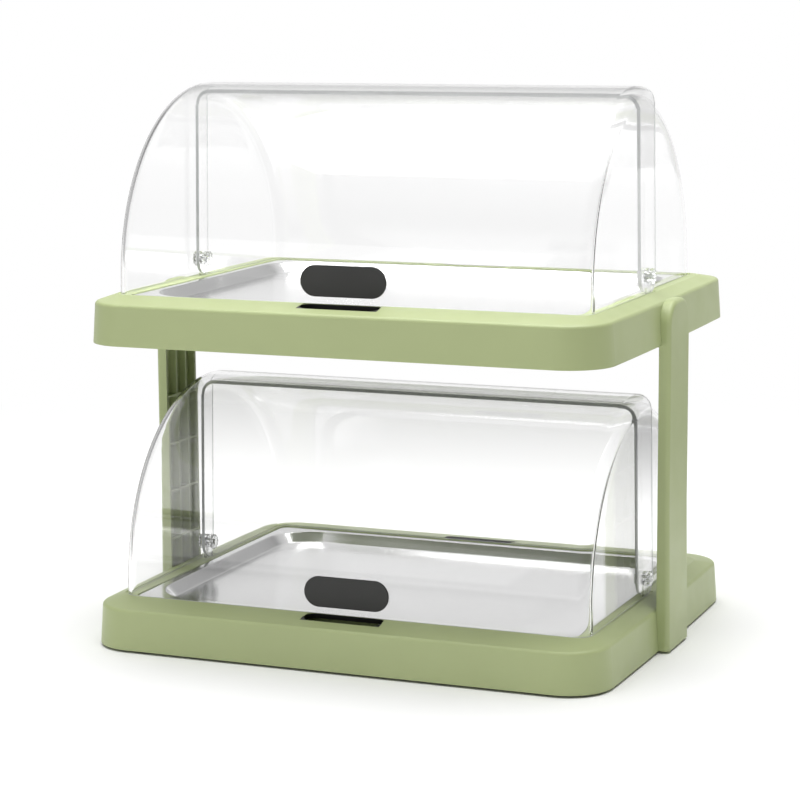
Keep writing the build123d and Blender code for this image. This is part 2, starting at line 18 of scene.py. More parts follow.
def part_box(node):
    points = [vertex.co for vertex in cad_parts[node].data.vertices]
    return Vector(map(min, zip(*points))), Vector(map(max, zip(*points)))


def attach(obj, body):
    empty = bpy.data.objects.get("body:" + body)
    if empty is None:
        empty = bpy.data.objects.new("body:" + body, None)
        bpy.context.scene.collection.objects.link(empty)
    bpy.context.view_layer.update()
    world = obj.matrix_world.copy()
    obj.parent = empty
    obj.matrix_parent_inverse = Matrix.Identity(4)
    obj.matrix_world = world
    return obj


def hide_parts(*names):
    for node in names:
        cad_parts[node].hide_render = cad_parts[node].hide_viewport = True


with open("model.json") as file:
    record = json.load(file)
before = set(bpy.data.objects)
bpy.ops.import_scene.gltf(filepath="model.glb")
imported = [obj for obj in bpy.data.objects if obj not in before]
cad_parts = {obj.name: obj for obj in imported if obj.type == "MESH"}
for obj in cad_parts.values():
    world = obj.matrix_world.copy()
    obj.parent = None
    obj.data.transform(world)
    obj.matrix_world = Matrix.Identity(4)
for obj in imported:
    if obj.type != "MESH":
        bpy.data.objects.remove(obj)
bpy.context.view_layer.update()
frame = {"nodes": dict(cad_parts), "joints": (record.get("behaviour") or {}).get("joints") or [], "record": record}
nodes = frame["nodes"]
hinges = {j["name"]: j["pos_m"] for j in frame["joints"] if j["type"] == "hinge"}
mm = 0.001
tiers = ("lower", "upper")

# %% [markdown]
# ## From arrays to meshes
# A surface is a grid of points, worked out as whole arrays. Its faces follow from the grid's shape, so
# one helper turns any set of grids into a mesh. Poles and seams come out as doubled points; they are
# merged, and the normals are then recalculated, because a mirrored grid comes out inside out.


# %% Mesh helpers
def grid_quads(rows, columns, wrap=False):
    """Corner numbers of the quads of a grid; with wrap, its last column joins its first."""
    index = np.arange(rows * columns).reshape(rows, columns)
    if wrap:
        index = np.hstack([index, index[:, :1]])
    corners = (index[:-1, :-1], index[:-1, 1:], index[1:, 1:], index[1:, :-1])
    return np.stack([c.ravel() for c in corners], axis=1)


def mesh_piece(name, points, quads, body, materials, last_count=0):
    """A piece from points (n, 3) and quads (m, 4): merged, its normals recalculated, smooth and riding on its
    body.
    The last last_count quads get the second material."""
    mesh = bpy.data.meshes.new(name)
    mesh.from_pydata(points.tolist(), [], quads.tolist())
    finish = np.arange(len(quads)) >= len(quads) - last_count
    mesh.polygons.foreach_set("material_index", finish.astype(np.int32))
    work = bmesh.new()
    work.from_mesh(mesh)
    bmesh.ops.remove_doubles(work, verts=work.verts, dist=merge_distance)
    bmesh.ops.dissolve_degenerate(work, edges=work.edges, dist=merge_distance)
    bmesh.ops.recalc_face_normals(work, faces=work.faces)
    work.to_mesh(mesh)
    work.free()
    mesh.polygons.foreach_set("use_smooth", np.ones(len(mesh.polygons), bool))
    for material in materials:
        mesh.materials.append(material)
    piece = bpy.data.objects.new(name, mesh)
    bpy.context.scene.collection.objects.link(piece)
    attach(piece, body)
    return piece


def round_edges(piece, width, segments, angle_degrees):
    """Rounds the sharp edges of a piece with a Bevel modifier."""
    bevel = piece.modifiers.new("round_edges", "BEVEL")
    bevel.width = width
    bevel.segments = segments
    bevel.limit_method = "ANGLE"
    bevel.angle_limit = math.radians(angle_degrees)
    bevel.harden_normals = True


merge_distance = 0.002 * mm
print("helpers ready")

# %% [markdown]
# ## Helpers for node trees
# Materials, groups and the world are all trees of nodes. Two kinds of node come up again and again:
# arithmetic on two values, and a soft ramp from one level to another. Each gets a helper that works in
# any tree.


# %% Node helpers
def math_node(tree, operation, first, second, clamp=False):
    """The result of a Math node on two values, each a socket or a plain number."""
    node = tree.nodes.new("ShaderNodeMath")
    node.operation = operation
    node.use_clamp = clamp
    for socket, value in zip(node.inputs, (first, second)):
        if isinstance(value, float):
            socket.default_value = value
        else:
            tree.links.new(value, socket)
    return node.outputs[0]


def smooth_ramp(tree, value, span, levels):
    """Goes softly from the first level, where value is the start of span, to the second at its end."""
    node = tree.nodes.new("ShaderNodeMapRange")
    node.interpolation_type = "SMOOTHSTEP"
    for label, number in zip(("From Min", "From Max", "To Min", "To Max"), (*span, *levels)):
        node.inputs[label].default_value = number
    tree.links.new(value, node.inputs["Value"])
    return node.outputs[0]


print("node helpers ready")

# %% [markdown]
# ## Shared effects
# Each effect is a node group: moulded grain, brushed lines, a faint uneven tone, fine dust, and a
# shade for the finger notches. It is built once and placed in each material with that material's own
# values. A group puts out values that change over the surface; whatever is the same everywhere is set
# on the shader itself.


# %% Node group helpers
def new_group(name, inputs, outputs):
    """An empty shader group with named float inputs (name, default) and named outputs (name, kind)."""
    group = bpy.data.node_groups.new(name, "ShaderNodeTree")
    for label, default in inputs:
        socket = group.interface.new_socket(label, in_out="INPUT", socket_type="NodeSocketFloat")
        socket.default_value = default
    for label, kind in outputs:
        group.interface.new_socket(label, in_out="OUTPUT", socket_type=kind)
    group.nodes.new("NodeGroupInput")
    group.nodes.new("NodeGroupOutput")
    return group


def group_ends(group):
    """The input and output nodes of a group."""
    return group.nodes["Group Input"], group.nodes["Group Output"]


def scaled_coordinates(group, factor_socket, stretch):
    """Object coordinates times a scale socket, stretched by (x, y, z)."""
    where = group.nodes.new("ShaderNodeTexCoord")
    shape = group.nodes.new("ShaderNodeVectorMath")
    shape.operation = "MULTIPLY"
    shape.inputs[1].default_value = stretch
    group.links.new(where.outputs["Object"], shape.inputs[0])
    size = group.nodes.new("ShaderNodeVectorMath")
    size.operation = "SCALE"
    group.links.new(shape.outputs[0], size.inputs[0])
    group.links.new(factor_socket, size.inputs["Scale"])
    return size.outputs[0]


def noise_from(group, vector, detail, roughness):
    """The value of a noise texture at vector."""
    noise = group.nodes.new("ShaderNodeTexNoise")
    noise.inputs["Scale"].default_value = 1.0
    noise.inputs["Detail"].default_value = detail
    noise.inputs["Roughness"].default_value = roughness
    group.links.new(vector, noise.inputs["Vector"])
    return noise.outputs[0]


noise_low, noise_high = 0.3, 0.7


def spread(group, value, low_socket, high_socket):
    """Maps a noise value to the range from one socket to another."""
    remap = group.nodes.new("ShaderNodeMapRange")
    remap.inputs["From Min"].default_value = noise_low
    remap.inputs["From Max"].default_value = noise_high
    group.links.new(value, remap.inputs["Value"])
    group.links.new(low_socket, remap.inputs["To Min"])
    group.links.new(high_socket, remap.inputs["To Max"])
    return remap.outputs[0]


def bump_from(group, height, strength_socket, depth):
    """A normal from a height, by a Bump node of that depth in metres."""
    bump = group.nodes.new("ShaderNodeBump")
    bump.inputs["Distance"].default_value = depth
    group.links.new(height, bump.inputs["Height"])
    group.links.new(strength_socket, bump.inputs["Strength"])
    return bump.outputs[0]


print("group helpers ready")

# %% [markdown]
# Grain is fine noise that tilts the normal, with a broad noise that lets the gloss wander. Brushed
# lines are the same noise stretched along X. Stretching costs nothing and needs no drawn texture.

# %% Grain and brushed lines
even = (1, 1, 1)
broad = (0.02, 0.02, 0.02)
along_x = (0.012, 1, 1)
grain_depth = 0.05 * mm
brush_depth = 0.02 * mm


def make_moulded_grain():
    """Fine spark-eroded texture of a mould: a normal and a roughness that wander a little."""
    group = new_group("moulded_grain",
                      [("Scale", 1800.0), ("Strength", 0.25), ("Rough Low", 0.4), ("Rough High", 0.5)],
                      [("Roughness", "NodeSocketFloat"), ("Normal", "NodeSocketVector")])
    start, end = group_ends(group)
    size = start.outputs["Scale"]
    fine = noise_from(group, scaled_coordinates(group, size, even), detail=3.0, roughness=0.6)
    slow = noise_from(group, scaled_coordinates(group, size, broad), detail=2.0, roughness=0.5)
    rough = spread(group, slow, start.outputs["Rough Low"], start.outputs["Rough High"])
    group.links.new(rough, end.inputs["Roughness"])
    normal = bump_from(group, fine, start.outputs["Strength"], grain_depth)
    group.links.new(normal, end.inputs["Normal"])
    return group


def make_brushed_lines():
    """Lines left by a brush along X: long thin noise drives the roughness and a shallow bump."""
    group = new_group("brushed_lines",
                      [("Scale", 1000.0), ("Strength", 0.2), ("Rough Low", 0.2), ("Rough High", 0.35)],
                      [("Mask", "NodeSocketFloat"), ("Roughness", "NodeSocketFloat"),
                       ("Normal", "NodeSocketVector")])
    start, end = group_ends(group)
    where = scaled_coordinates(group, start.outputs["Scale"], along_x)
    lines = noise_from(group, where, detail=4.0, roughness=0.65)
    rough = spread(group, lines, start.outputs["Rough Low"], start.outputs["Rough High"])
    group.links.new(lines, end.inputs["Mask"])
    group.links.new(rough, end.inputs["Roughness"])
    normal = bump_from(group, lines, start.outputs["Strength"], brush_depth)
    group.links.new(normal, end.inputs["Normal"])
    return group


moulded_grain = make_moulded_grain()
brushed_lines = make_brushed_lines()
print("grain and lines ready")

# %% [markdown]
# A moulding is never one flat tone, and a little dust settles on what faces up. Both could be painted,
# but as noise on the piece's own places they need no picture and look the same from every side.


# %% Uneven tone and fine dust
def make_uneven_tone():
    """A slow drift of tone over a moulding: puts out a factor from Low to High."""
    group = new_group("uneven_tone", [("Scale", 14.0), ("Low", 0.96), ("High", 1.04)],
                      [("Factor", "NodeSocketFloat")])
    start, end = group_ends(group)
    where = scaled_coordinates(group, start.outputs["Scale"], even)
    slow = noise_from(group, where, detail=2.0, roughness=0.5)
    factor = spread(group, slow, start.outputs["Low"], start.outputs["High"])
    group.links.new(factor, end.inputs["Factor"])
    return group


speck_start, speck_full = 0.62, 0.74


def make_fine_dust():
    """Dust that settles on what faces up: a mask from the normal's height times sparse specks."""
    group = new_group("fine_dust", [("Scale", 900.0), ("Amount", 0.1)], [("Mask", "NodeSocketFloat")])
    start, end = group_ends(group)
    where = scaled_coordinates(group, start.outputs["Scale"], even)
    specks = noise_from(group, where, detail=4.0, roughness=0.7)
    keep = group.nodes.new("ShaderNodeMapRange")
    keep.inputs["From Min"].default_value = speck_start
    keep.inputs["From Max"].default_value = speck_full
    group.links.new(specks, keep.inputs["Value"])
    facing = group.nodes.new("ShaderNodeNewGeometry")
    axis = group.nodes.new("ShaderNodeSeparateXYZ")
    group.links.new(facing.outputs["Normal"], axis.inputs[0])
    upward = math_node(group, "MULTIPLY", axis.outputs["Z"], keep.outputs[0], clamp=True)
    mask = math_node(group, "MULTIPLY", upward, start.outputs["Amount"], clamp=True)
    group.links.new(mask, end.inputs["Mask"])
    return group


uneven_tone = make_uneven_tone()
fine_dust = make_fine_dust()
print("tone and dust ready")

# %% [markdown]
# On the real object a finger notch looks like a black slot, because little light gets into it. In this
# model the deck is 4.2 mm thick, so from the front one sees the notch's own lit edge there instead of
# the dark below it. The slot's shade is therefore painted: a mask by place darkens whatever lies within
# the notch's strip and below the deck, in either tier. It darkens all the walls of a notch alike, and its outline
# is square.

# %% Shade for the finger notches
seat_middle = -3.0 * mm
tier_pitch = 241.5 * mm
shade_top = 37.6 * mm


def make_inside_shade():
    """A mask on the piece's own places, for the notches that are painted dark: 1 where the distances
    from the seat's middle lie inside a notch and the height in the tier is below the deck."""
    group = new_group("inside_shade", [("Half Width", 33.0 * mm), ("Near", 140.6 * mm),
                                       ("Far", 158.7 * mm)], [("Mask", "NodeSocketFloat")])
    start, end = group_ends(group)
    where = group.nodes.new("ShaderNodeTexCoord")
    axes = group.nodes.new("ShaderNodeSeparateXYZ")
    group.links.new(where.outputs["Object"], axes.inputs[0])
    side = math_node(group, "ABSOLUTE", axes.outputs["X"], 0.0)
    from_middle = math_node(group, "SUBTRACT", axes.outputs["Y"], seat_middle)
    reach = math_node(group, "ABSOLUTE", from_middle, 0.0)
    in_tier = math_node(group, "MODULO", axes.outputs["Z"], tier_pitch)
    mask = math_node(group, "LESS_THAN", side, start.outputs["Half Width"])
    for test in (math_node(group, "GREATER_THAN", reach, start.outputs["Near"]),
                 math_node(group, "LESS_THAN", reach, start.outputs["Far"]),
                 math_node(group, "LESS_THAN", in_tier, shade_top)):
        mask = math_node(group, "MULTIPLY", mask, test)
    group.links.new(mask, end.inputs["Mask"])
    return group


inside_shade = make_inside_shade()
print("effects:", [g.name for g in bpy.data.node_groups])

# %% [markdown]
# ## Finishes
# Each real finish is one short function. Colours are written as a colour picker shows them and turned
# into linear light by one helper, so that they can be compared with the object by eye.


# %% Material helpers
def linear(red, green, blue):
    """Linear RGBA of a colour given as a colour picker shows it, 0 to 255."""
    share = np.array([red, green, blue]) / 255
    value = np.where(share <= 0.04045, share / 12.92, ((share + 0.055) / 1.055) ** 2.4)
    return (*[float(v) for v in value], 1.0)


def new_material(name, colour, roughness, metallic=0.0):
    """A material whose Principled shader has these constants; returns it with its shader."""
    material = bpy.data.materials.new(name)
    material.use_nodes = True
    shader = material.node_tree.nodes["Principled BSDF"]
    shader.inputs["Base Color"].default_value = colour
    shader.inputs["Roughness"].default_value = roughness
    shader.inputs["Metallic"].default_value = metallic
    return material, shader


def place(material, group, **values):
    """Places a shared effect in a material with its own values."""
    node = material.node_tree.nodes.new("ShaderNodeGroup")
    node.node_tree = group
    for label, value in values.items():
        node.inputs[label.replace("_", " ")].default_value = value
    return node


def link(material, source, target):
    """Joins two sockets in a material."""
    material.node_tree.links.new(source, target)


def mixed_colour(material, mask, colour, over):
    """Lays a plain colour over a colour socket, or over another plain colour, by a mask."""
    mix = material.node_tree.nodes.new("ShaderNodeMix")
    mix.data_type = "RGBA"
    link(material, mask, mix.inputs["Factor"])
    if isinstance(colour, tuple):
        mix.inputs["A"].default_value = colour
    else:
        link(material, colour, mix.inputs["A"])
    mix.inputs["B"].default_value = over
    return mix.outputs["Result"]


def toned_colour(material, colour, tone):
    """Colour times a tone factor; returns the colour socket."""
    tinted = material.node_tree.nodes.new("ShaderNodeVectorMath")
    tinted.operation = "SCALE"
    tinted.inputs[0].default_value = colour[:3]
    link(material, tone.outputs["Factor"], tinted.inputs["Scale"])
    return tinted.outputs[0]


dust_colour = (0.7, 0.7, 0.68, 1.0)
tone_scale, dust_scale, dust_amount = 14.0, 1400.0, 0.06


def moulded_plastic(name, colour, rough, grain_scale, grain_strength, drift=0.03):
    """A moulded plastic: fine grain, a slow drift of tone and a breath of dust on top.
    rough holds the lowest and the highest roughness."""
    material, shader = new_material(name, colour, sum(rough) / 2)
    grain = place(material, moulded_grain, Scale=grain_scale, Strength=grain_strength,
                  Rough_Low=rough[0], Rough_High=rough[1])
    tone = place(material, uneven_tone, Scale=tone_scale, Low=1 - drift, High=1 + drift)
    dust = place(material, fine_dust, Scale=dust_scale, Amount=dust_amount)
    toned = toned_colour(material, colour, tone)
    dusty = mixed_colour(material, dust.outputs["Mask"], toned, dust_colour)
    link(material, dusty, shader.inputs["Base Color"])
    link(material, grain.outputs["Roughness"], shader.inputs["Roughness"])
    link(material, grain.outputs["Normal"], shader.inputs["Normal"])
    return material


print("material helpers ready")

# %% [markdown]
# Most pieces are moulded plastics or rubber that differ in colour, gloss and grain, so one function
# makes them all. The housing also gets the painted shade for its finger notches. The oval plates are
# charcoal with a strong grain, and they are bare.

# %% Moulded finishes
housing = moulded_plastic("satin_green", linear(173, 184, 133), rough=(0.36, 0.44),
                          grain_scale=2200.0, grain_strength=0.10, drift=0.02)
# The undersides get a darker copy of the housing green, as painted shade.
underside = moulded_plastic("underside_painted_shade", linear(120, 128, 96), rough=(0.5, 0.6),
                            grain_scale=1500.0, grain_strength=0.3)
dark_plate = moulded_plastic("charcoal_plate", linear(50, 50, 49), rough=(0.42, 0.55),
                             grain_scale=1300.0, grain_strength=0.55, drift=0.06)
cooling_pack = moulded_plastic("pack_plastic", linear(196, 214, 226), rough=(0.35, 0.45),
                               grain_scale=900.0, grain_strength=0.35, drift=0.05)
pack_cap = moulded_plastic("cap_blue", linear(44, 92, 150), rough=(0.35, 0.45),
                           grain_scale=1200.0, grain_strength=0.3)
foot_rubber = moulded_plastic("foot_rubber", linear(34, 34, 34), rough=(0.7, 0.85),
                              grain_scale=1100.0, grain_strength=0.6, drift=0.08)

# Near-black painted shade for the finger notches, laid over the housing green by the notch mask.
notch_painted_shade = linear(12, 13, 10)
housing_colour = housing.node_tree.nodes["Principled BSDF"].inputs["Base Color"]
notch_mask = place(housing, inside_shade).outputs["Mask"]
lit_green = housing_colour.links[0].from_socket
link(housing, mixed_colour(housing, notch_mask, lit_green, notch_painted_shade), housing_colour)
print("moulded finishes ready")

# %% [markdown]
# Brushed stainless steel is metal whose brush marks run one way. The marks darken the tone a little,
# change the gloss from line to line and tilt the normal by a hair.

# %% Steel finishes
line_shade = 0.86


def brushed_steel(name, colour, rough, scale, strength):
    """Brushed stainless steel: long fine lines along X in the tone, the roughness and the normal."""
    material, shader = new_material(name, colour, rough[0], metallic=1.0)
    lines = place(material, brushed_lines, Scale=scale, Strength=strength,
                  Rough_Low=rough[0], Rough_High=rough[1])
    dull = tuple(line_shade * c for c in colour[:3]) + (1.0,)
    toned = mixed_colour(material, lines.outputs["Mask"], dull, colour)
    link(material, toned, shader.inputs["Base Color"])
    link(material, lines.outputs["Roughness"], shader.inputs["Roughness"])
    link(material, lines.outputs["Normal"], shader.inputs["Normal"])
    return material


tray_steel = brushed_steel("brushed_tray", linear(238, 238, 238), rough=(0.14, 0.2),
                           scale=1400.0, strength=0.03)
screw_steel = brushed_steel("plain_screw", linear(190, 190, 188), rough=(0.3, 0.4),
                            scale=2600.0, strength=0.1)
print("steel finishes ready")

# %% [markdown]
# Clear plastic is glass with a lower index. Light from lamps would have to find its way through the
# refracting walls by chance, which is slow and noisy, so for shadow rays alone the wall is plain
# transparent. Everything the camera sees still refracts and reflects. The covers' free edges get a
# painted reflection: a grey-white, partly see-through finish, so that they read as soft lines.

# %% Clear finishes
shadow_tint = (0.96, 0.965, 0.965, 1.0)
edge_line_alpha = 0.6


def clear_plastic(name, tint, roughness, index):
    """A clear moulding: refracts for what is seen, and lets lamp light straight through."""
    material, shader = new_material(name, tint, roughness)
    shader.inputs["Transmission Weight"].default_value = 1.0
    shader.inputs["IOR"].default_value = index
    tree = material.node_tree
    path = tree.nodes.new("ShaderNodeLightPath")
    through = tree.nodes.new("ShaderNodeBsdfTransparent")
    through.inputs["Color"].default_value = shadow_tint
    choose = tree.nodes.new("ShaderNodeMixShader")
    link(material, path.outputs["Is Shadow Ray"], choose.inputs[0])
    link(material, shader.outputs[0], choose.inputs[1])
    link(material, through.outputs[0], choose.inputs[2])
    link(material, choose.outputs[0], tree.nodes["Material Output"].inputs["Surface"])
    return material


clear_cover = clear_plastic("clear_cover", (1.0, 1.0, 1.0, 1.0), roughness=0.02, index=1.45)
clear_fitting = clear_plastic("clear_fitting", (0.96, 0.97, 0.97, 1.0), roughness=0.04, index=1.49)
# Painted reflection for the covers' free edges: grey-white and partly see-through.
painted_edge_line = moulded_plastic("painted_edge_line", linear(206, 208, 208), rough=(0.3, 0.4),
                               grain_scale=1500.0, grain_strength=0.2)
painted_edge_line.node_tree.nodes["Principled BSDF"].inputs["Alpha"].default_value = edge_line_alpha
print("clear finishes ready")

# %% [markdown]
# ## Dress the CAD pieces
# Pieces whose CAD shape is already right only need their finish. The record says which slot each node
# has, so one table of slots dresses them all.

# %% Materials on the CAD nodes
finish_of_slot = {
    "housing": housing, "underside": underside, "clear_cover": clear_cover,
    "clear_fitting": clear_fitting, "dark_plate": dark_plate, "tray_steel": tray_steel,
    "cooling_pack": cooling_pack, "pack_cap": pack_cap, "screw_steel": screw_steel,
    "foot_rubber": foot_rubber,
}
slot_of_node = {s["node"]: s["material_slot"] for s in frame["record"]["subparts"]}
for name, node in nodes.items():
    node.data.materials.clear()
    node.data.materials.append(finish_of_slot[slot_of_node[name]])
print("dressed", len(nodes), "nodes")

# %% [markdown]
# ## Roll-top covers
# A cover is a quarter drum with a short skirt and two end walls, moulded in one piece. One grid makes a
# whole skin. One way it follows the side profile, from the foot up the skirt and round the drum to the
# lap edge. The other way it runs up the left wall, round the left corner, along the drum and down the
# right. Two skins, a wall apart, are joined round their free edges. A Bevel rounds those edges, and
# their faces get the painted reflection line.

# %% The cover's surface
cover_wall = 2.6 * mm
cover_corner = 12.0 * mm
wall_lean = math.tan(math.radians(1.2)) * math.sqrt(0.5)
skirt_rows, drum_rows, ear_rows = 8, 72, 13
wall_columns, corner_columns, drum_columns = 14, 9, 40
cover_edge_round = 0.5 * mm
cover_edge_angle = 50


def side_profile(side, radius, drop, lap):
    """Skirt and drum seen from the end: (y, z) from the hinge, with outward normals.
    The skirt rises straight to the hinge's height; the drum is an arc to y = -side * lap."""
    skirt_z = np.linspace(-drop, 0, skirt_rows, endpoint=False)
    skirt = np.stack([np.full(skirt_rows, side * radius), skirt_z], axis=1)
    skirt_normal = np.tile([side, 0.0], (skirt_rows, 1))
    last_angle = math.pi / 2 + math.asin(lap / radius)
    angle = np.linspace(0, last_angle, drum_rows)
    drum_normal = np.stack([side * np.cos(angle), np.sin(angle)], axis=1)
    return np.vstack([skirt, radius * drum_normal]), np.vstack([skirt_normal, drum_normal])


def free_edge(side, radius, drop, lap, rows):
    """The end wall's free edge: foot line, ear round the hinge, lap edge, as rows points (y, z)."""
    foot_rows = (rows - ear_rows) // 2
    lap_rows = rows - ear_rows - foot_rows
    along = np.linspace(0, 1, foot_rows, endpoint=False)[:, None]
    foot = (1 - along) * np.array([side * radius, -drop]) + along * np.array([0.0, -lap])
    angle = np.linspace(0, math.pi / 2, ear_rows)
    ear = lap * np.stack([-side * np.sin(angle), -np.cos(angle)], axis=1)
    crown = math.sqrt(radius**2 - lap**2)
    height = np.linspace(0, crown, lap_rows + 1)[1:]
    return np.vstack([foot, ear, np.stack([np.full(lap_rows, -side * lap), height], axis=1)])


def cover_skin(side, radius, half_length, drop, lap, corner):
    """One skin as a grid (rows, columns, 3) about the hinge.
    In the plane of X and the profile's normal, the drum (depth 0) and the wall line
    x = x0 + m * depth meet in a circle of radius corner tangent to both, and the rest of the wall
    is ruled from there to the free edge, at x = half_length - lean * (side * y + z)."""
    profile, normal = side_profile(side, radius, drop, lap)
    x0 = half_length - wall_lean * (side * profile[:, 0] + profile[:, 1])
    slope = wall_lean * (side * normal[:, 0] + normal[:, 1])
    stretch = np.sqrt(1 + slope**2)
    centre_x = x0 + slope * corner - corner * stretch
    turn = np.linspace(0, 1, corner_columns) * (math.pi / 2 - np.arctan(slope))[:, None]
    corner_x = centre_x[:, None] + corner * np.sin(turn)
    corner_depth = corner * (1 - np.cos(turn))
    corner_yz = profile[:, None, :] - corner_depth[..., None] * normal[:, None, :]
    inner = profile - corner_depth[:, -1:] * normal
    edge = free_edge(side, radius - corner, drop, lap, len(profile))
    share = np.linspace(0, 1, wall_columns)[None, 1:, None]
    wall_yz = (1 - share) * inner[:, None, :] + share * edge[:, None, :]
    wall_x = half_length - wall_lean * (side * wall_yz[..., 0] + wall_yz[..., 1])
    half_x = np.hstack([corner_x, wall_x])
    half_yz = np.concatenate([corner_yz, wall_yz], axis=1)
    across = np.linspace(-1, 1, drum_columns + 1)[None, 1:-1]
    drum_x = across * centre_x[:, None]
    drum_yz = np.repeat(profile[:, None, :], drum_columns - 1, axis=1)
    x = np.hstack([-half_x[:, ::-1], drum_x, half_x])
    yz = np.concatenate([half_yz[:, ::-1], drum_yz, half_yz], axis=1)
    return np.dstack([x, yz])


def shell_of(outer, inner):
    """Points and quads of a closed wall between two grids of the same shape, the quads of its free
    edges last, and how many those are."""
    rows, columns = outer.shape[:2]
    count = rows * columns
    skin = grid_quads(rows, columns)
    index = np.arange(count).reshape(rows, columns)
    rim = np.concatenate([index[0], index[1:, -1], index[-1, -2::-1], index[-2:0:-1, 0]])
    following = np.roll(rim, -1)
    strip = np.stack([rim, following, following + count, rim + count], axis=1)
    points = np.vstack([outer.reshape(-1, 3), inner.reshape(-1, 3)])
    return points, np.vstack([skin, skin[:, ::-1] + count, strip]), len(strip)


# %% Four covers
def make_cover(tier, place_name, side):
    """The visible cover for one CAD cover, sized from that node's box."""
    node = f"{tier}_{place_name}_cover"
    low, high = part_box(node)
    hinge = np.array(hinges[f"{node}_hinge"])
    reach = (hinge[1] - low.y, high.y - hinge[1])
    radius, lap = max(reach), min(reach)
    drop = hinge[2] - low.z
    half_length = high.x - wall_lean * math.sqrt(2) * lap
    outer = cover_skin(side, radius, half_length, drop, lap, cover_corner)
    inner = cover_skin(side, radius - cover_wall, half_length - cover_wall, drop, lap,
                       cover_corner - cover_wall)
    points, quads, edge_count = shell_of(outer, inner)
    piece = mesh_piece(f"{node}_shell", points + hinge, quads, f"{node}_body",
                       [clear_cover, painted_edge_line], edge_count)
    round_edges(piece, cover_edge_round, 3, cover_edge_angle)
    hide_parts(node)
    print(node, "radius", round(radius, 4), "half length", round(half_length, 4), "faces", len(quads))


for tier in tiers:
    make_cover(tier, "front", -1)
    make_cover(tier, "rear", 1)

# %% [markdown]
# ## Pressed trays
# A tray is pressed from one sheet: a flat rim, a sloped wall with large corners, and a flat floor. It
# could be a box with bevels, but a press gives soft bends and corners that open out, so it is a profile
# carried round a rounded rectangle, whose half sizes and corner change from ring to ring.


# %% The tray's surface
def ring(half_x, half_y, corner, height, corner_points=14, side_points=6):
    """Points of a rounded rectangle: four quarter circles joined by straight runs."""
    quarter = np.linspace(0, math.pi / 2, corner_points)
    share = np.linspace(0, 1, side_points + 2)[1:-1, None]
    arcs = []
    for turn, sx, sy in ((0, 1, 1), (1, -1, 1), (2, -1, -1), (3, 1, -1)):
        angle = quarter + turn * math.pi / 2
        centre = np.array([sx * (half_x - corner), sy * (half_y - corner)])
        arcs.append(centre + corner * np.stack([np.cos(angle), np.sin(angle)], axis=1))
    runs = [(1 - share) * arcs[i][-1] + share * arcs[(i + 1) % 4][0] for i in range(4)]
    loop = np.vstack([part for i in range(4) for part in (arcs[i], runs[i])])
    return np.column_stack([loop, np.full(len(loop), height)])


tray_rim_width = 6.5 * mm
tray_depth = 8.3 * mm
tray_wall_run = 8.0 * mm
tray_mouth_corner = 40.0 * mm
tray_rim_corner = 6.0 * mm
tray_sheet = 0.8 * mm
tray_bend = 1.6 * mm
tray_floor_bend = 3.0 * mm
tray_edge_round = 0.25 * mm
tray_edge_angle = 60
bend_rows = 7
floor_shrinks = (0.75, 0.5, 0.25, 0.0)


def tray_rings(half_x, half_y, top):
    """Rings from the rim's edge to the floor's middle: inset, corner and height of each.
    The bends at the mouth and the floor are quarter-like arcs between the straight stretches."""
    slope = math.atan2(tray_depth, tray_wall_run)
    turn = np.linspace(0, slope, bend_rows)
    bend_x = tray_bend * np.sin(turn)
    bend_z = tray_bend * (1 - np.cos(turn))
    back = tray_bend * math.tan(slope / 2)
    mouth = np.stack([tray_rim_width - back + bend_x, -bend_z], axis=1)
    floor_back = tray_floor_bend * math.tan(slope / 2)
    foot_x = tray_rim_width + tray_wall_run + floor_back
    floor = np.stack([foot_x - tray_floor_bend * np.sin(turn[::-1]),
                      tray_floor_bend * (1 - np.cos(turn[::-1])) - tray_depth], axis=1)
    section = np.vstack([[0.0, 0.0], mouth, floor])
    rings = []
    for inset, height in section:
        share = np.clip(inset / (tray_rim_width - back), 0, 1)
        corner = tray_rim_corner + share * (tray_mouth_corner - tray_rim_corner)
        corner -= max(0.0, inset - tray_rim_width)
        rings.append(ring(half_x - inset, half_y - inset, corner, top + height))
    for shrink in floor_shrinks:
        inner = rings[len(section) - 1].copy()
        inner[:, :2] *= shrink
        rings.append(inner)
    return np.stack(rings)


def make_tray(tier):
    """The visible tray for one CAD tray: the pressed surface, given its sheet thickness."""
    node = f"{tier}_tray"
    low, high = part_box(node)
    rings = tray_rings(high.x, (high.y - low.y) / 2, high.z)
    rings[..., 1] += (high.y + low.y) / 2
    rows, columns = rings.shape[:2]
    piece = mesh_piece(f"{tier}_pressed_tray", rings.reshape(-1, 3), grid_quads(rows, columns, True),
                       f"{tier}_tray_body", [tray_steel])
    if piece.data.polygons[0].normal.z < 0:
        piece.data.flip_normals()
    sheet = piece.modifiers.new("sheet", "SOLIDIFY")
    sheet.thickness = tray_sheet
    sheet.offset = -1
    round_edges(piece, tray_edge_round, 2, tray_edge_angle)
    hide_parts(node)
    print(node, "rings", rows, "points", rows * columns)


for tier in tiers:
    make_tray(tier)

# %% [markdown]
# ## Stage, light and camera
# The picture is a catalogue shot: white all round, with one broad soft light from above and a weak one
# from the front left. Clear pieces show only what they bend and mirror, so the world has two parts. To
# the camera, and through clear walls, it is a white backdrop. Mirrored rays, and those that light matt
# surfaces, meet a room instead: white at the horizon, greyer above it, on the right, at both ends and
# in front, and paler again at the ceiling. Clear covers and steel on a white page show edges where they
# mirror something grey, and that is what the grey parts are for.

